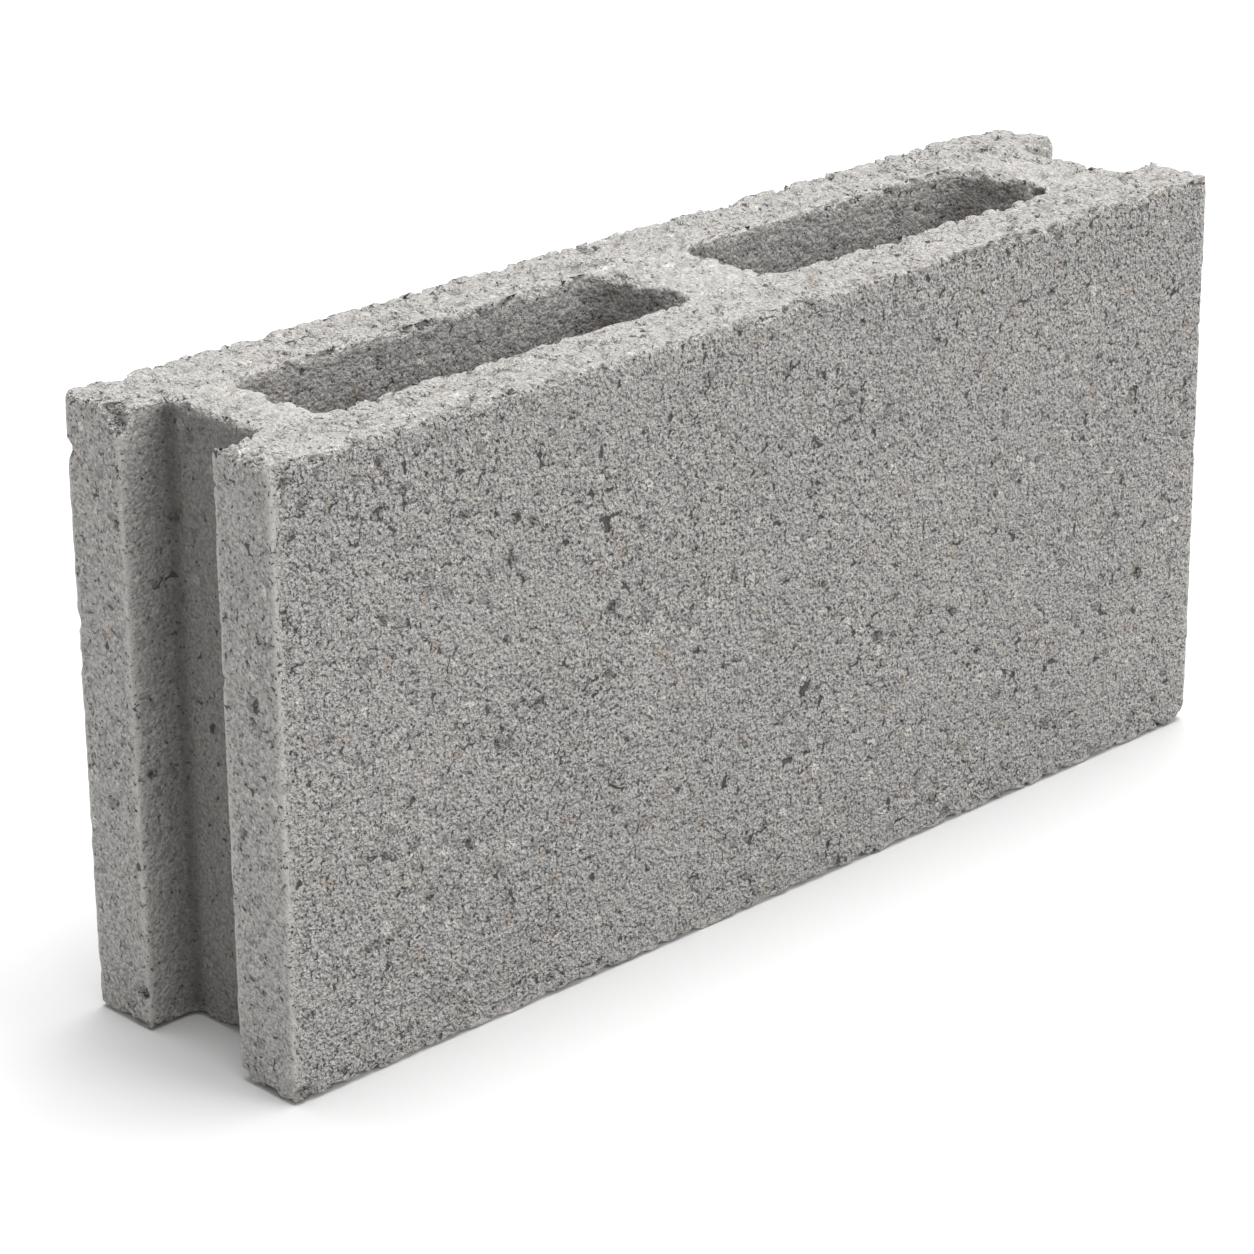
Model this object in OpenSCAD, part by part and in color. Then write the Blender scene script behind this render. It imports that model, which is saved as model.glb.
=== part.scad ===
// Hollow concrete partition block, cast as one piece.
// Two through cells between the face shells, and a mortar groove down the full height of each end.
// The cells are drafted: they open a little towards the top bed, as the mould cores leave them.
// Units are mm. X runs along the block, Y through the wall, Z up.
// The origin is the centre of the bottom bed face, so the block stands on Z = 0.

/* [Block] */
// Length of the block, end to end
block_l = 390; // [320:1:480]
// Thickness of the block, front face to back face
block_w = 90; // [80:1:160]
// Height of one course
block_h = 190; // [120:1:240]
// Rounding of the four upright outer arrises
arris_r = 3; // [1:0.5:6]

/* [Shells and webs] */
// Thickness of each long face shell, measured at the top bed
face_shell = 25; // [18:0.5:34]
// Thickness of the end web behind the left groove, at the top bed
left_web = 21; // [14:0.5:40]
// Thickness of the web between the two cells, at the top bed
middle_web = 32; // [18:0.5:50]
// Distance of the middle web's centre line from the middle of the block, along +X
middle_web_shift = 3; // [-15:0.5:15]
// Thickness of the end web behind the right groove, at the top bed
right_web = 30; // [14:0.5:40]

/* [Cells] */
// Radius of the cell corners at the top bed
cell_corner_r = 8; // [4:0.5:12]
// How far each cell wall leans in from the top bed to the bottom bed
cell_draft = 1; // [0.2:0.1:3]

/* [End grooves] */
// Width of each end groove, between its two flanges
groove_w = 40; // [24:0.5:56]
// Depth of each end groove, from the end of the block
groove_d = 17; // [8:0.5:30]
// Rounding of the inner corners at the groove floor
groove_floor_r = 3; // [1:0.5:7]
// Rounding of the groove's two lips on the end face
groove_lip_r = 2; // [0.5:0.5:4]

/* [Output] */
// Which sub-part to draw

/* [Hidden] */
$fn = 96;
// How far a cutter runs past the face it opens
overrun = 4;
concrete_grey = [0.59, 0.58, 0.56];
// Cell width at the top bed, left between the two face shells
cell_w = block_w - 2 * face_shell;
// Ends of the two cells along X, at the top bed
left_cell_x0 = -block_l / 2 + groove_d + left_web;
left_cell_x1 = middle_web_shift - middle_web / 2;
right_cell_x0 = middle_web_shift + middle_web / 2;
right_cell_x1 = block_l / 2 - groove_d - right_web;
// How much a cell wall moves out over the overrun, so that the draft carries on past each bed
overrun_draft = cell_draft * overrun / block_h;

concrete_block();

// The whole casting
module concrete_block() {
  color(concrete_grey)
  difference() {
    outer_body();
    drafted_cell(left_cell_x0, left_cell_x1);
    drafted_cell(right_cell_x0, right_cell_x1);
    end_groove();
    mirror([1, 0, 0]) end_groove();
  }
}

// The block before its cells and grooves, with rounded upright arrises
module outer_body() {
  linear_extrude(height = block_h)
    rounded_rect(block_l / 2, block_w / 2, arris_r);
}

// The core that leaves one cell: x0 and x1 are its ends at the top bed.
// Two wedge profiles give the four leaning walls, and an upright rounded bar gives the corners.
module drafted_cell(x0, x1) {
  half_l = (x1 - x0) / 2;
  half_w = cell_w / 2;
  translate([(x0 + x1) / 2, 0, 0])
  intersection() {
    translate([0, half_w + overrun, 0])
      rotate([90, 0, 0])
        linear_extrude(height = 2 * (half_w + overrun))
          core_profile(half_l);
    translate([-half_l - overrun, 0, 0])
      rotate([90, 0, 90])
        linear_extrude(height = 2 * (half_l + overrun))
          core_profile(half_w);
    translate([0, 0, -overrun])
      linear_extrude(height = block_h + 2 * overrun)
        rounded_rect(half_l + overrun_draft, half_w + overrun_draft, cell_corner_r);
  }
}

// Upright section of a core, from below the bottom bed to above the top bed
module core_profile(half_top) {
  low = half_top - cell_draft - overrun_draft;
  high = half_top + overrun_draft;
  polygon([
    [-low, -overrun],
    [low, -overrun],
    [high, block_h + overrun],
    [-high, block_h + overrun]
  ]);
}

// Rectangle of the given half sizes with rounded corners
module rounded_rect(half_x, half_y, r) {
  square([2 * (half_x - r), 2 * half_y], center = true);
  square([2 * half_x, 2 * (half_y - r)], center = true);
  for (sx = [-1, 1])
    for (sy = [-1, 1])
      translate([sx * (half_x - r), sy * (half_y - r)])
        circle(r = r);
}

// The groove down the +X end
module end_groove() {
  floor_x = block_l / 2 - groove_d;
  lip_x = block_l / 2 - groove_lip_r;
  lip_y = groove_w / 2 + groove_lip_r;
  translate([0, 0, -overrun])
  linear_extrude(height = block_h + 2 * overrun)
  difference() {
    union() {
      translate([floor_x + groove_floor_r, -groove_w / 2])
        square([groove_d - groove_floor_r + overrun, groove_w]);
      translate([floor_x, -groove_w / 2 + groove_floor_r])
        square([groove_floor_r, groove_w - 2 * groove_floor_r]);
      for (sy = [-1, 1])
        translate([floor_x + groove_floor_r, sy * (groove_w / 2 - groove_floor_r)])
          circle(r = groove_floor_r);
      // the flare at the mouth, which the two lips below are left standing in
      translate([lip_x, -lip_y])
        square([groove_lip_r + overrun, 2 * lip_y]);
    }
    for (sy = [-1, 1])
      translate([lip_x, sy * lip_y])
        circle(r = groove_lip_r);
  }
}
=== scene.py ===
"""Hollow concrete partition block: one casting of pressed grey concrete, on a plain pale floor."""
import math

import bpy
import numpy as np
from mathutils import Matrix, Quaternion, Vector


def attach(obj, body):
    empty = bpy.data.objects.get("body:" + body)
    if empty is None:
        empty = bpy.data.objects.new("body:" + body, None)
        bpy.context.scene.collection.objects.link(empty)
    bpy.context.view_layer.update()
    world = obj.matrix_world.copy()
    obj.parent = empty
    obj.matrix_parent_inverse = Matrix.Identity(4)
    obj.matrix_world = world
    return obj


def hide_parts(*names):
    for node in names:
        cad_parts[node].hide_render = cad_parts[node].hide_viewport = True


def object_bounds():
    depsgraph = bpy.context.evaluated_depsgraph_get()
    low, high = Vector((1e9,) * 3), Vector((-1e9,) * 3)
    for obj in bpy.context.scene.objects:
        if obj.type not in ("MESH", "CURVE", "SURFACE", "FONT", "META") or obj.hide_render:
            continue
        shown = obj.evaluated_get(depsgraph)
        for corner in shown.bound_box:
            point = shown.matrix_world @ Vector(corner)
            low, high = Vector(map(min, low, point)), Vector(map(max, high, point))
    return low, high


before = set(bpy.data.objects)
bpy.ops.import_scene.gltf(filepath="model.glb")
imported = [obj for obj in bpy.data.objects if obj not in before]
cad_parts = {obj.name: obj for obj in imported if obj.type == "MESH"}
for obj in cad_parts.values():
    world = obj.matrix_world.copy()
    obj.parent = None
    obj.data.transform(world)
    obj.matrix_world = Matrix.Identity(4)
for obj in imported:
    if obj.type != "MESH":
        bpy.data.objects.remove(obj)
cad_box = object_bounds()

# ---------------------------------------------------------------- sizes of the casting, in mm
MM = 0.001
BLOCK_LOW = np.array(cad_box[0]) / MM
BLOCK_HIGH = np.array(cad_box[1]) / MM
HALF_L, HALF_W = (BLOCK_HIGH - BLOCK_LOW)[:2] / 2
BLOCK_H = (BLOCK_HIGH - BLOCK_LOW)[2]
FACE_SHELL = 25.0
LEFT_WEB, RIGHT_WEB = 21.0, 30.0
MIDDLE_WEB, MIDDLE_WEB_SHIFT = 32.0, 3.0
CELL_CORNER, CELL_DRAFT = 8.0, 1.0
GROOVE_W, GROOVE_D, GROOVE_FLOOR_R = 40.0, 17.0, 3.0
GROOVE_CUTTER = 60.0  # the groove cutter runs this far out from the groove floor
ARRIS_R, LIP_R = 3.0, 2.0
CELL_HALF_W = HALF_W - FACE_SHELL
# ends of the two cells along the block, at the top bed
CELLS = (
    (-HALF_L + GROOVE_D + LEFT_WEB, MIDDLE_WEB_SHIFT - MIDDLE_WEB / 2),
    (MIDDLE_WEB_SHIFT + MIDDLE_WEB / 2, HALF_L - GROOVE_D - RIGHT_WEB),
)

# ---------------------------------------------------------------- repeatable noise


def lattice_value(cell, seed):
    """A repeatable value from 0 to 1 for each whole-number lattice point."""
    h = cell[0].astype(np.uint32) * np.uint32(0x8DA6B343)
    h += cell[1].astype(np.uint32) * np.uint32(0xD8163841)
    h += cell[2].astype(np.uint32) * np.uint32(0xCB1AB31F)
    h += np.uint32(seed * 0x9E3779B9 & 0xFFFFFFFF)
    h ^= h >> np.uint32(15)
    h *= np.uint32(0x2C1B3C6D)
    h ^= h >> np.uint32(12)
    h *= np.uint32(0x297A2D39)
    h ^= h >> np.uint32(15)
    return (h / np.float32(4294967296.0)).astype(np.float32)


def swell(points, spacing, seed):
    """Smooth value noise from -1 to 1, whose lumps are about as wide as the spacing."""
    p = (points / spacing).astype(np.float32)
    low = np.floor(p)
    t = p - low
    t = t * t * (3 - 2 * t)
    base = low.astype(np.int64)
    total = np.zeros(len(p), np.float32)
    for corner in range(8):
        step = np.array([corner & 1, corner >> 1 & 1, corner >> 2 & 1])
        share = np.prod(np.where(step, t, 1 - t), axis=1)
        total += share * lattice_value((base + step).T, seed)
    return 2 * total - 1


def scatter(points, spacing, seed):
    """Nearest and second nearest of stones scattered one to a lattice cell.

    Gives both distances in mm, and two values from 0 to 1 that belong to the nearest stone."""
    p = (points / spacing).astype(np.float32)
    base = np.floor(p).astype(np.int64)
    near = np.full(len(p), 9.0, np.float32)
    second = near.copy()
    pick_a = np.zeros(len(p), np.float32)
    pick_b = pick_a.copy()
    for dx in (-1, 0, 1):
        for dy in (-1, 0, 1):
            for dz in (-1, 0, 1):
                cell = (base + np.array([dx, dy, dz])).T
                away = np.zeros(len(p), np.float32)
                for axis in range(3):
                    stone = cell[axis] + lattice_value(cell, seed + axis)
                    away += (stone - p[:, axis]).astype(np.float32) ** 2
                away = np.sqrt(away)
                nearer = away < near
                second = np.where(nearer, near, np.minimum(second, away))
                near = np.where(nearer, away, near)
                pick_a = np.where(nearer, lattice_value(cell, seed + 7), pick_a)
                pick_b = np.where(nearer, lattice_value(cell, seed + 8), pick_b)
    return near * spacing, second * spacing, pick_a, pick_b


def ramp(value, low, high):
    """0 below low, 1 above high, smooth between."""
    t = np.clip((value - low) / (high - low), 0, 1)
    return t * t * (3 - 2 * t)


# ---------------------------------------------------------------- the block as a signed distance, in mm


def rounded_box(x, y, half_x, half_y, r):
    """Distance to the outline of a rectangle with rounded corners: below 0 inside it."""
    qx = np.abs(x) - half_x + r
    qy = np.abs(y) - half_y + r
    return np.hypot(np.maximum(qx, 0), np.maximum(qy, 0)) + np.minimum(np.maximum(qx, qy), 0) - r


def rounded_meet(a, b, r):
    """Where two surfaces meet at an outside corner, rounded to r."""
    return np.minimum(-r, np.maximum(a, b)) + np.hypot(np.maximum(a + r, 0), np.maximum(b + r, 0))


def plan_distance(p, arris_r, lip_r):
    """Distance to the sides of the plan section: below 0 in the concrete."""
    x, y, z = p.T
    body = rounded_box(x, y, HALF_L, HALF_W, arris_r)
    end_x = np.abs(x) - (HALF_L - GROOVE_D + GROOVE_CUTTER / 2)
    groove = rounded_box(end_x, y, GROOVE_CUTTER / 2, GROOVE_W / 2, GROOVE_FLOOR_R)
    body = rounded_meet(body, -groove, lip_r)
    lean = CELL_DRAFT * (BLOCK_H - z) / BLOCK_H
    for x0, x1 in CELLS:
        middle, half = (x0 + x1) / 2, (x1 - x0) / 2
        core = rounded_box(x - middle, y, half - lean, CELL_HALF_W - lean, CELL_CORNER)
        body = np.maximum(body, -core)
    return body


def bed_distance(p):
    """Distance to the nearer of the two beds: below 0 between them."""
    return np.abs(p[:, 2] - BLOCK_H / 2) - BLOCK_H / 2


def block_distance(p, arris_r, lip_r, bed_r):
    """Distance to the skin of the casting: below 0 in the concrete."""
    return rounded_meet(plan_distance(p, arris_r, lip_r), bed_distance(p), bed_r)


# ---------------------------------------------------------------- wear and damage

# Broken places: centre of the bite, just off the concrete, and its three half sizes, all in mm
CHIPS = (
    ((-191.5, -46.5, 3.0), (4.0, 4.0, 2.8)),
    ((-196.5, -20.0, -1.5), (5.0, 5.0, 5.5)),
    ((-197.5, 18.5, 191.5), (8.0, 10.0, 11.5)),
    ((-188.0, -18.5, 191.5), (7.0, 4.0, 4.5)),
    ((-196.5, 46.5, 172.0), (4.0, 4.5, 4.5)),
    ((-196.5, 46.5, 120.0), (3.5, 3.5, 5.0)),
    ((197.0, 47.0, 192.0), (10.0, 10.0, 8.0)),
    ((186.0, 46.5, 191.5), (7.0, 4.5, 4.5)),
    ((197.0, 37.0, 192.0), (5.0, 6.0, 6.0)),
    ((-153.5, -16.5, 191.5), (5.0, 4.5, 4.5)),
    ((-38.0, 18.5, 191.5), (8.0, 4.0, 4.0)),
    ((-14.5, 4.0, 191.5), (4.5, 7.0, 4.5)),
    ((-15.5, 14.0, 191.5), (4.5, 4.5, 5.5)),
    ((146.5, 5.0, 191.5), (4.5, 6.0, 4.5)),
    ((146.0, 14.0, 191.5), (5.0, 4.5, 5.5)),
    ((193.0, 18.5, 191.5), (7.0, 4.5, 4.5)),
    ((184.0, -18.5, 191.5), (7.0, 4.0, 4.5)),
    ((179.5, 8.0, 191.5), (4.5, 8.0, 4.5)),
    ((168.0, 30.0, 192.0), (4.5, 4.0, 3.8)),
    ((158.0, -6.0, 192.2), (3.2, 2.8, 3.6)),
    ((197.0, -46.5, -1.5), (8.0, 5.0, 6.0)),
    ((60.0, 46.5, 191.5), (9.0, 4.5, 4.5)),
    ((-120.0, 46.5, -1.5), (11.0, 5.0, 5.0)),
    ((196.5, -30.0, 60.0), (3.2, 5.0, 6.0)),
    ((-90.0, -46.5, 191.5), (8.0, 4.5, 5.0)),
    ((-10.0, -46.5, 191.5), (5.0, 4.5, 6.0)),
    ((98.0, -46.5, 191.5), (6.0, 4.5, 5.5)),
)
# Lumps of mix left on the cell walls where a core was slow to let go: centre and half sizes, in mm
LUMPS = (
    ((-12.0, -11.0, 160.0), (4.5, 3.5, 33.0)),
    ((149.0, -10.0, 163.0), (4.5, 3.5, 29.0)),
)
TOP_CRUMB_R, BOTTOM_CRUMB_R, UPRIGHT_CRUMB_R = 4.2, 2.6, 0.7
BITE_RIM_R = 0.8
# finding the worn skin: how far apart the slope is felt, how often a point is moved, and how far at most
FEEL, MOVES, LONGEST_MOVE = 0.05, 6, 2.5


def crumbs(p):
    """1 where a crumb has come off an arris, 0 where the arris is whole."""
    near, _, lot, size = scatter(p + 0.8 * swell(p, 2.5, 15)[:, None], 6.5, 71)
    return ramp(2.2 + 1.8 * size - near, 0.0, 1.6) * ramp(lot + 0.35 * swell(p, 14.0, 11), 0.30, 0.45)


def worn_surface(p):
    """Moves points of the clean casting onto the worn one, and gives its outward normals."""
    wander = swell(p, 14.0, 11)
    crumb = crumbs(p)
    fret = swell(p, 2.4, 12)
    top = p[:, 2] > BLOCK_H / 2
    bed_r = 0.8 + 0.4 * fret + np.where(top, TOP_CRUMB_R, BOTTOM_CRUMB_R) * crumb
    arris_r = 1.9 + 0.3 * fret + 0.3 * wander + UPRIGHT_CRUMB_R * crumb
    lip_r = 0.9 + 0.2 * fret + UPRIGHT_CRUMB_R * crumb
    bite_rough = 1.0 + 0.18 * swell(p, 4.2, 13) + 0.16 * swell(p, 2.0, 14)

    def distance(q):
        d = block_distance(q, arris_r, lip_r, bed_r)
        for centre, half in LUMPS:
            half = np.array(half)
            away = (q - np.array(centre)) / half
            lump = (np.linalg.norm(away, axis=1) - bite_rough) * half.min()
            d = np.minimum(d, lump)
        for centre, half in CHIPS:
            half = np.array(half)
            away = (q - np.array(centre)) / half
            bite = (bite_rough - np.linalg.norm(away, axis=1)) * half.min()
            d = rounded_meet(d, bite, BITE_RIM_R)
        return d

    for _ in range(MOVES):
        d = distance(p)
        slope = np.stack([(distance(p + e) - distance(p - e)) / (2 * FEEL) for e in np.eye(3) * FEEL],
                         axis=1)
        size = np.maximum(np.sum(slope * slope, axis=1), 0.25)
        p = p - np.clip(d / size, -LONGEST_MOVE, LONGEST_MOVE)[:, None] * slope
    return p, slope / np.sqrt(size)[:, None]


def porosity(p):
    """0 where the paste has filled the face, 1 where it is most open."""
    return ramp(swell(p, 30.0, 33) + 0.6 * swell(p, 9.0, 34), -0.9, 0.9)


def on_bed(p):
    """1 on the top and bottom beds, 0 on the upright faces, with a ragged margin between."""
    return ramp(bed_distance(p) + 1.3 * swell(p, 4.5, 37) + 0.7 * swell(p, 2.2, 38), -3.2, -1.2)


def in_cell(p):
    """1 on the walls of the cells, which the cores drag as they are drawn."""
    x, y, _ = p.T
    return ((np.abs(x) < HALF_L - GROOVE_D - 10) & (np.abs(y) < CELL_HALF_W + 1)).astype(float)


def in_groove(p):
    """0 at the lips of the end grooves, 1 on their floors."""
    x, y, _ = p.T
    inside = (HALF_L - np.abs(x) < GROOVE_D + 3) * ramp(-bed_distance(p), 1.0, 4.0)
    return inside * ramp(HALF_L - np.abs(x), 0.5, 13.0) * ramp(GROOVE_W / 2 + 1.5 - np.abs(y), 0.0, 2.0)


def in_mould_recess(p):
    """How far the mould has smoothed the skin: most in the end grooves, less on the end faces."""
    x, y, _ = p.T
    upright = ramp(-bed_distance(p), 1.0, 4.0)
    end_face = 0.35 * ramp(HALF_L - np.abs(x), 1.5, 0.5)
    groove = 0.62 * (HALF_L - np.abs(x) < GROOVE_D + 3) * ramp(HALF_L - np.abs(x), 0.5, 3.0)
    groove *= ramp(GROOVE_W / 2 + 1.5 - np.abs(y), 0.0, 1.0)
    return upright * np.maximum(end_face, groove)


def relief(p):
    """How far the rough face lies below the smooth one, in mm: swells, stones, gaps, holes and bites."""
    warped = p + 0.6 * np.stack([swell(p, 2.5, 21 + axis) for axis in range(3)], axis=1)
    open_area = porosity(p)
    bed = on_bed(p)
    cell = in_cell(p)
    rough_place = np.maximum(bed, 0.3 * cell)
    uneven = 0.12 * (1 + swell(p, 45.0, 31)) + 0.08 * (1 + swell(p, 16.0, 32))
    # stones stand proud on the beds, with torn gaps between them
    near, second, lot, _ = scatter(warped, 6.5, 41)
    torn = ramp(swell(p, 3.6, 35) + 0.75 * bed + 0.2 * cell, 0.40, 0.70)
    gap = ramp(1.1 - (second - near), 0.0, 0.8) * torn
    grain = (0.10 + 0.16 * rough_place) * (ramp(near, 0.8, 4.2) + 1.6 * lot * rough_place)
    grain += (0.35 + 0.45 * open_area + 0.45 * bed) * gap
    fret = (0.10 + 0.14 * rough_place) * (1 + swell(p, 2.2, 36))
    hole_away, _, hole_lot, hole_size = scatter(warped, 8.5, 51)
    hole_r = np.where(hole_lot > 0.50 + 0.25 * cell, 0.8 + 1.3 * hole_size**2, 0.0)
    holes = 1.25 * np.sqrt(np.maximum(hole_r**2 - hole_away**2, 0))
    # an arris crumbles back up to 4 mm from its line, and half as deep along the bottom bed
    to_bed_arris = np.maximum(-plan_distance(p, ARRIS_R, LIP_R), -bed_distance(p))
    share = np.where(p[:, 2] > BLOCK_H / 2, 1.0, 0.5)
    bites = 1.3 * crumbs(p) * ramp(4.0 - to_bed_arris, 0.0, 3.0) * share
    return uneven + (grain + fret) * (1 - 0.8 * in_mould_recess(p)) + holes + bites


def vertices_mm(mesh):
    """The mesh's points, in mm."""
    flat = np.empty(3 * len(mesh.vertices), np.float32)
    mesh.vertices.foreach_get("co", flat)
    return flat.reshape(-1, 3).astype(np.float64) / MM


# grid of the skin, in metres, and the triangles that are kept
FINE_SKIN = (0.0009, 196000)
SEEN_GIVES_UP = 0.3  # how readily a seen face gives up triangles, beside 1 for an unseen one


def cast_block(grid, triangles):
    """The worn casting as one closed mesh, in metres.

    The clean casting is given an even skin of squares one grid wide, the skin is worn and
    roughened, and then thinned to the number of triangles."""
    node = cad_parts["concrete_block"]
    clean = bpy.data.objects.new("clean_casting", node.data.copy())
    bpy.context.scene.collection.objects.link(clean)
    even = clean.modifiers.new("even_skin", "REMESH")
    even.mode = "VOXEL"
    even.voxel_size = grid
    skin = bpy.data.meshes.new_from_object(clean.evaluated_get(bpy.context.evaluated_depsgraph_get()))
    bpy.data.objects.remove(clean)
    p, normal = worn_surface(vertices_mm(skin))
    p = p - normal * relief(p)[:, None]
    p = np.clip(p, BLOCK_LOW, BLOCK_HIGH)
    skin.vertices.foreach_set("co", (p * MM).astype(np.float32).ravel())
    skin.update()
    rough = bpy.data.objects.new("rough_casting", skin)
    bpy.context.scene.collection.objects.link(rough)
    # the cell walls and the bottom bed are seen least, so they give up most triangles
    x, y, z = p.T
    in_cells = (np.abs(x) < HALF_L - GROOVE_D - 12) & (np.abs(y) < CELL_HALF_W + 2) & (z < BLOCK_H - 25)
    unseen = np.flatnonzero(in_cells | (z < 1.0)).tolist()
    spare = rough.vertex_groups.new(name="give_up_triangles")
    spare.add(range(len(p)), SEEN_GIVES_UP, "REPLACE")
    spare.add(unseen, 1.0, "REPLACE")
    fewer = rough.modifiers.new("fewer_triangles", "DECIMATE")
    fewer.vertex_group = spare.name
    fewer.vertex_group_factor = 1.0
    fewer.ratio = triangles / (2.0 * len(skin.polygons))
    fewer.use_collapse_triangulate = True
    mesh = bpy.data.meshes.new_from_object(rough.evaluated_get(bpy.context.evaluated_depsgraph_get()))
    bpy.data.objects.remove(rough)
    mesh.name = "cast_concrete_block"
    # thinning the mesh can throw a corner just outside the block
    p = np.clip(vertices_mm(mesh), BLOCK_LOW, BLOCK_HIGH)
    mesh.vertices.foreach_set("co", (p * MM).astype(np.float32).ravel())
    mesh.update()
    return mesh


def mark_wear_and_painted_shade(mesh):
    """Stores on the mesh what the material has to know of each place, each as a share from 0 to 1."""
    p = vertices_mm(mesh)
    plan = plan_distance(p, ARRIS_R, LIP_R)
    bed = bed_distance(p)
    across = np.abs(p[:, 0]) - HALF_L
    along = np.abs(p[:, 1]) - HALF_W
    lip = np.abs(np.abs(p[:, 1]) - GROOVE_W / 2)
    to_bed_arris = np.maximum(-plan, -bed)
    to_upright_arris = np.minimum(np.maximum(-across, -along), np.maximum(-across, lip))
    depth = -np.maximum(plan, bed)
    # painted shade: the end grooves are drawn darker than the open faces, darkest in their inner corners
    corner = ramp(np.abs(p[:, 1]) - GROOVE_W / 2, -6.0, -0.5)
    corner *= ramp(HALF_L - np.abs(p[:, 0]), 10.0, 16.0)
    bed_arris = 0.3 * ramp(3.6 - to_bed_arris, 0.0, 2.6)
    upright_arris = ramp(2.4 - to_upright_arris, 0.0, 1.3)
    marks = {
        "recess": in_groove(p) * (0.70 + 0.30 * corner),
        "struck": on_bed(p),
        "smooth": np.maximum.reduce([0.40 * on_bed(p), 0.60 * in_cell(p), in_mould_recess(p)]),
        "arris": np.maximum(bed_arris, upright_arris),
        "hollow": ramp(depth, 1.1, 2.6),
        "porous": porosity(p),
        "cloud": ramp(swell(p, 40.0, 61) + 0.5 * swell(p, 15.0, 62), -0.9, 0.9),
    }
    for name, value in marks.items():
        layer = mesh.attributes.new(name, "FLOAT", "POINT")
        layer.data.foreach_set("value", value.astype(np.float32))


# ---------------------------------------------------------------- material


def linear(hex_colour):
    """sRGB hex to linear RGBA."""
    values = [int(hex_colour[i:i + 2], 16) / 255 for i in (1, 3, 5)]
    return tuple(v / 12.92 if v <= 0.04045 else ((v + 0.055) / 1.055) ** 2.4 for v in values) + (1.0,)


def put(tree, kind, inputs=None, **settings):
    """Adds a node, sets its properties, and fills its sockets with values or links.

    Sockets are by name or number. A Map Range takes 1 and 2, the range that goes in, and 3 and 4,
    the range that comes out. A colour Mix takes 0, the share, and 6 and 7, the two colours."""
    node = tree.nodes.new(kind)
    for name, value in settings.items():
        setattr(node, name, value)
    for socket, value in (inputs or {}).items():
        if isinstance(value, bpy.types.NodeSocket):
            tree.links.new(value, node.inputs[socket])
        else:
            node.inputs[socket].default_value = value
    return node


GRAVEL_MM, SAND_MM = 2.8, 1.0  # across one grain
STIR_PER_MM, GRIT_PER_MM, SEAM_PER_MM = 0.60, 0.85, 0.50  # swells of the noise to one millimetre


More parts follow.
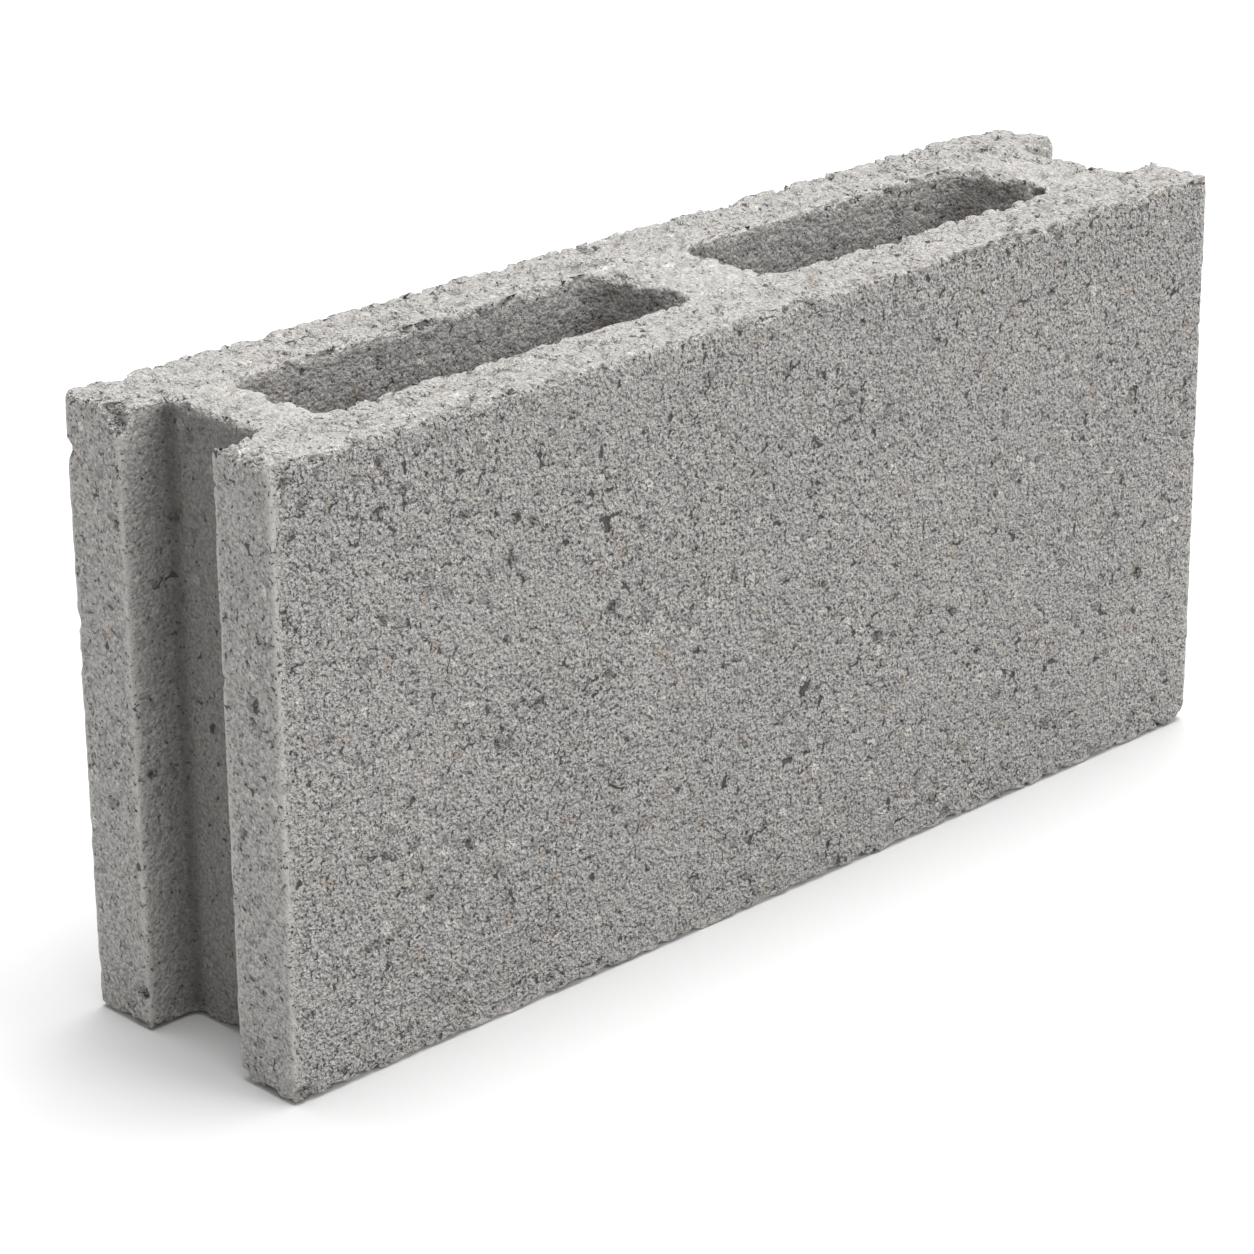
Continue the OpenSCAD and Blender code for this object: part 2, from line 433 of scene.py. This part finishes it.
def pressed_concrete():
    """Dense block concrete, pressed in a steel mould and left as cast.

    To the eye it is dry and matt: grey cement paste with sand and small stones showing,
    short dark gaps between the grains, pin holes, and paler bruised arrises. Its colour also
    carries painted light and shade: grain crowns and upper sides paler; grain feet, gaps,
    hollows and the end grooves darker; and some of the top bed's paleness."""
    material = bpy.data.materials.new("pressed_grey_concrete")
    material.use_nodes = True
    tree = material.node_tree
    tree.nodes.clear()
    place = put(tree, "ShaderNodeTexCoord")
    mm = put(tree, "ShaderNodeVectorMath", {0: place.outputs["Object"], "Scale": 1 / MM},
             operation="SCALE").outputs["Vector"]
    # broken grains aren't round, so the pattern is pulled about by a few tenths of a millimetre
    stir = put(tree, "ShaderNodeTexNoise", {"Vector": mm, "Scale": STIR_PER_MM, "Detail": 1.0})
    stir = put(tree, "ShaderNodeVectorMath", {0: stir.outputs["Color"], "Scale": 0.8}, operation="SCALE")
    stirred = put(tree, "ShaderNodeVectorMath", {0: mm, 1: stir.outputs["Vector"]},
                  operation="ADD").outputs["Vector"]
    # fine gravel and sharp sand
    gravel = put(tree, "ShaderNodeTexVoronoi", {"Vector": stirred, "Scale": 1 / GRAVEL_MM})
    gravel_pick = put(tree, "ShaderNodeSeparateColor", {"Color": gravel.outputs["Color"]})
    sand = put(tree, "ShaderNodeTexVoronoi", {"Vector": stirred, "Scale": 1 / SAND_MM})
    sand_pick = put(tree, "ShaderNodeSeparateColor", {"Color": sand.outputs["Color"]})
    # the torn skin of the paste
    grit = put(tree, "ShaderNodeTexNoise",
               {"Vector": mm, "Scale": GRIT_PER_MM, "Detail": 2.0, "Roughness": 0.5})
    # where the paste hasn't filled in: drifts a few cm wide, kept on the mesh
    porous = put(tree, "ShaderNodeAttribute", attribute_name="porous")
    # short dark gaps, about 0.5 mm wide and 1 to 2 mm long, in the lows of the skin
    seam = put(tree, "ShaderNodeTexNoise", {"Vector": mm, "Scale": SEAM_PER_MM, "Detail": 0.0})
    seam = put(tree, "ShaderNodeMath", {0: seam.outputs["Fac"], 1: 0.5}, operation="SUBTRACT")
    seam = put(tree, "ShaderNodeMath", {0: seam.outputs[0]}, operation="ABSOLUTE")
    seam = put(tree, "ShaderNodeMapRange",
               {"Value": seam.outputs[0], 1: 0.030, 2: 0.065, 3: 1.0, 4: 0.0},
               interpolation_type="SMOOTHSTEP")
    low = put(tree, "ShaderNodeMath", {0: porous.outputs["Fac"], 1: -0.04, 2: grit.outputs["Fac"]},
              operation="MULTIPLY_ADD")
    # where the mould or a core has smoothed the face, there are fewer of them
    smooth = put(tree, "ShaderNodeAttribute", attribute_name="smooth")
    low = put(tree, "ShaderNodeMath", {0: smooth.outputs["Fac"], 1: 0.11, 2: low.outputs[0]},
              operation="MULTIPLY_ADD")
    low = put(tree, "ShaderNodeMapRange", {"Value": low.outputs[0], 1: 0.38, 2: 0.43, 3: 1.0, 4: 0.0},
              interpolation_type="SMOOTHSTEP")
    seam = put(tree, "ShaderNodeMath", {0: seam.outputs[0], 1: low.outputs[0]}, operation="MULTIPLY")
    # pin holes, where a grain of sand has come away
    lost = put(tree, "ShaderNodeMapRange",
               {"Value": sand_pick.outputs["Green"], 1: 0.95, 2: 1.0, 3: 0.2, 4: 0.6})
    lost = put(tree, "ShaderNodeMath", {0: lost.outputs[0], 1: sand.outputs["Distance"]},
               operation="SUBTRACT")
    lost = put(tree, "ShaderNodeMapRange", {"Value": lost.outputs[0], 1: 0.0, 2: 0.15},
               interpolation_type="SMOOTHSTEP")
    # gaps where the gravel stands furthest apart
    apart = put(tree, "ShaderNodeMath",
                {0: porous.outputs["Fac"], 1: 0.06, 2: gravel.outputs["Distance"]},
                operation="MULTIPLY_ADD")
    apart = put(tree, "ShaderNodeMapRange", {"Value": apart.outputs[0], 1: 0.88, 2: 0.96},
                interpolation_type="SMOOTHSTEP")
    gaps = put(tree, "ShaderNodeMath", {0: seam.outputs[0], 1: lost.outputs[0]}, operation="MAXIMUM")
    gaps = put(tree, "ShaderNodeMath", {0: gaps.outputs[0], 1: apart.outputs[0]}, operation="MAXIMUM")

    # height in mm, each grain a low dome; drawn twice as deep as it is, so that the finest grain shows
    gravel_dome = put(tree, "ShaderNodeMath", {0: gravel.outputs["Distance"], 1: 2.0}, operation="POWER")
    sand_dome = put(tree, "ShaderNodeMath", {0: sand.outputs["Distance"], 1: 2.0}, operation="POWER")
    height = put(tree, "ShaderNodeMath", {0: gravel_dome.outputs[0], 1: -0.80}, operation="MULTIPLY")
    height = put(tree, "ShaderNodeMath", {0: sand_dome.outputs[0], 1: -0.40, 2: height.outputs[0]},
                 operation="MULTIPLY_ADD")
    height = put(tree, "ShaderNodeMath", {0: grit.outputs["Fac"], 1: 1.20, 2: height.outputs[0]},
                 operation="MULTIPLY_ADD")
    height = put(tree, "ShaderNodeMath", {0: gaps.outputs[0], 1: -0.50, 2: height.outputs[0]},
                 operation="MULTIPLY_ADD")
    firm = put(tree, "ShaderNodeMath", {0: 1.0, 1: smooth.outputs["Fac"]}, operation="SUBTRACT")
    rough_face = put(tree, "ShaderNodeBump", {
        "Height": height.outputs[0],
        "Strength": firm.outputs[0],
        "Distance": 2 * MM,
    })

    # colour: cement paste in two greys, clouded over some 3 cm
    cloud = put(tree, "ShaderNodeAttribute", attribute_name="cloud")
    paste = put(tree, "ShaderNodeMix",
                {0: cloud.outputs["Fac"], 6: linear("#ACAAA8"), 7: linear("#B3B0AD")}, data_type="RGBA")
    # each stone has its own tone: a few dark, a few brown, a few pale
    tones = put(tree, "ShaderNodeValToRGB", {"Fac": gravel_pick.outputs["Red"]})
    tones.color_ramp.interpolation = "CONSTANT"
    stops = tones.color_ramp.elements
    stops.remove(stops[-1])
    stops[0].color = linear("#7C7A78")
    for position, colour in ((0.025, "#A39689"), (0.04, "#ABA9A6"), (0.50, "#B4B1AE"), (0.95, "#BEBCB8"),
                             (0.985, "#DAD6D0")):
        stops.new(position).color = linear(colour)
    body = put(tree, "ShaderNodeMix", {0: 0.60, 6: paste.outputs[2], 7: tones.outputs["Color"]},
               data_type="RGBA")
    # sand grains differ a little; the highs of the skin are drawn pale and the lows dark, partly rubbing
    # and dust, partly painted shade that follows the bumps
    sand_tone = put(tree, "ShaderNodeMapRange", {"Value": sand_pick.outputs["Red"], 3: 0.90, 4: 1.10})
    skin_wear_and_painted_shade = put(tree, "ShaderNodeMapRange",
                    {"Value": grit.outputs["Fac"], 1: 0.34, 2: 0.66, 3: 0.82, 4: 1.18})
    tone = put(tree, "ShaderNodeMath", {0: sand_tone.outputs[0], 1: skin_wear_and_painted_shade.outputs[0]},
               operation="MULTIPLY")
    # painted light and shade: each grain's crown is drawn pale and the crease round its foot dark
    painted_crown_light_and_foot_shade = put(tree, "ShaderNodeMapRange",
               {"Value": sand.outputs["Distance"], 1: 0.30, 2: 0.80, 3: 1.10, 4: 0.74},
               interpolation_type="SMOOTHSTEP")
    tone = put(tree, "ShaderNodeMath", {0: tone.outputs[0], 1: painted_crown_light_and_foot_shade.outputs[0]}, operation="MULTIPLY")
    # painted light and shade: the upper side of every grain, turned towards the lamps, is drawn paler
    # and the under side darker
    face = put(tree, "ShaderNodeNewGeometry")
    tilt = put(tree, "ShaderNodeVectorMath",
               {0: rough_face.outputs["Normal"], 1: face.outputs["Normal"]}, operation="SUBTRACT")
    tilt = put(tree, "ShaderNodeVectorMath", {0: tilt.outputs["Vector"], 1: (0.5, -0.2, 1.0)},
               operation="DOT_PRODUCT")
    painted_grain_light = put(tree, "ShaderNodeMath", {0: tilt.outputs["Value"], 1: 0.40, 2: 1.0},
                operation="MULTIPLY_ADD")
    tone = put(tree, "ShaderNodeMath", {0: tone.outputs[0], 1: painted_grain_light.outputs[0]}, operation="MULTIPLY")
    body = put(tree, "ShaderNodeVectorMath", {0: body.outputs[2], "Scale": tone.outputs[0]},
               operation="SCALE")
    # bruised arrises are paler
    arris = put(tree, "ShaderNodeAttribute", attribute_name="arris")
    bruise = put(tree, "ShaderNodeMath", {0: arris.outputs["Fac"], 1: 0.85}, operation="MULTIPLY")
    body = put(tree, "ShaderNodeMix", {0: bruise.outputs[0], 6: body.outputs[0], 7: linear("#D0CDC8")},
               data_type="RGBA")
    # the struck beds are drawn paler: dried laitance, and on the top bed also painted light for its
    # brighter lighting
    struck = put(tree, "ShaderNodeAttribute", attribute_name="struck")
    pale = put(tree, "ShaderNodeMath", {0: struck.outputs["Fac"], 1: 0.18}, operation="MULTIPLY")
    body = put(tree, "ShaderNodeMix", {0: pale.outputs[0], 6: body.outputs[2], 7: linear("#CDCAC4")},
               data_type="RGBA")
    # painted shade: the grooves are drawn darker, standing in for the shade that falls in them
    recess = put(tree, "ShaderNodeAttribute", attribute_name="recess")
    painted_groove_shade = put(tree, "ShaderNodeMath", {0: recess.outputs["Fac"], 1: 0.85}, operation="MULTIPLY")
    body = put(tree, "ShaderNodeMix", {0: painted_groove_shade.outputs[0], 6: body.outputs[2], 7: linear("#4E4B47")},
               data_type="RGBA")
    # painted shade, with some dust: gaps and hollows are drawn darker, standing in for the shade in them
    hollow = put(tree, "ShaderNodeAttribute", attribute_name="hollow")
    shade = put(tree, "ShaderNodeMath", {0: hollow.outputs["Fac"], 1: 0.4}, operation="MULTIPLY")
    shade = put(tree, "ShaderNodeMath", {0: gaps.outputs[0], 1: shade.outputs[0]}, operation="MAXIMUM")
    shade = put(tree, "ShaderNodeMath", {0: shade.outputs[0], 1: 0.85}, operation="MULTIPLY")
    colour = put(tree, "ShaderNodeMix", {0: shade.outputs[0], 6: body.outputs[2], 7: linear("#34322F")},
                 data_type="RGBA")
    surface = put(tree, "ShaderNodeBsdfPrincipled", {
        "Base Color": colour.outputs[2],
        "Roughness": 0.92,
        "IOR": 1.5,
        "Normal": rough_face.outputs["Normal"],
    })
    put(tree, "ShaderNodeOutputMaterial", {"Surface": surface.outputs["BSDF"]})
    return material


def studio_floor():
    """Plain pale floor, matt white."""
    material = bpy.data.materials.new("matt_white_floor")
    material.use_nodes = True
    surface = material.node_tree.nodes["Principled BSDF"]
    surface.inputs["Base Color"].default_value = linear("#E6E6E6")
    surface.inputs["Roughness"].default_value = 0.9
    return material


# ---------------------------------------------------------------- the block

block_mesh = cast_block(*FINE_SKIN)
mark_wear_and_painted_shade(block_mesh)
block_mesh.shade_smooth()
block_mesh.materials.clear()
block_mesh.materials.append(pressed_concrete())
block = bpy.data.objects.new("cast_concrete_block", block_mesh)
bpy.context.scene.collection.objects.link(block)
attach(block, "root")
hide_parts("concrete_block")

# ---------------------------------------------------------------- floor, light and camera

floor_mesh = bpy.data.meshes.new("studio_floor")
FLOOR_HALF = 9.0  # half the side of the floor, in metres
corners = [(FLOOR_HALF * x, FLOOR_HALF * y, 0) for x, y in ((-1, -1), (1, -1), (1, 1), (-1, 1))]
floor_mesh.from_pydata(corners, [], [(0, 1, 2, 3)])
floor_mesh.materials.append(studio_floor())
floor = bpy.data.objects.new("studio_floor", floor_mesh)
bpy.context.scene.collection.objects.link(floor)


BLOCK_MIDDLE = Vector((0.0, 0.0, 0.1))


def softbox(name, place, side, watts):
    """A square soft light at a place in metres, turned to the middle of the block."""
    light = bpy.data.lights.new(name, "AREA")
    light.shape = "SQUARE"
    light.size = side
    light.energy = watts
    lamp = bpy.data.objects.new(name, light)
    lamp.location = place
    lamp.rotation_euler = (BLOCK_MIDDLE - Vector(place)).to_track_quat("-Z", "Y").to_euler()
    bpy.context.scene.collection.objects.link(lamp)


softbox("overhead_softbox", (0.55, 0.0, 4.0), 3.0, 197.0)
softbox("front_fill_softbox", (1.2, -3.0, 1.6), 1.5, 41.0)

world = bpy.data.worlds.new("white_studio")
world.use_nodes = True
world.node_tree.nodes["Background"].inputs["Color"].default_value = (1, 1, 1, 1)
world.node_tree.nodes["Background"].inputs["Strength"].default_value = 0.45
bpy.context.scene.world = world
bpy.context.scene.view_settings.view_transform = "Standard"

camera_data = bpy.data.cameras.new("studio_camera")
camera_data.sensor_width = 36.0
camera_data.lens = 121.8
camera_data.dof.use_dof = False
camera = bpy.data.objects.new("studio_camera", camera_data)
camera.location = (-0.852, -0.863, 0.562)
CAMERA_AIM = Vector((-0.0222, 0.0005, 0.0823))
ROLL = math.radians(-0.53)
facing = (CAMERA_AIM - camera.location).to_track_quat("-Z", "Y")
camera.rotation_euler = (facing @ Quaternion((0, 0, 1), ROLL)).to_euler()
bpy.context.scene.collection.objects.link(camera)
bpy.context.scene.camera = camera
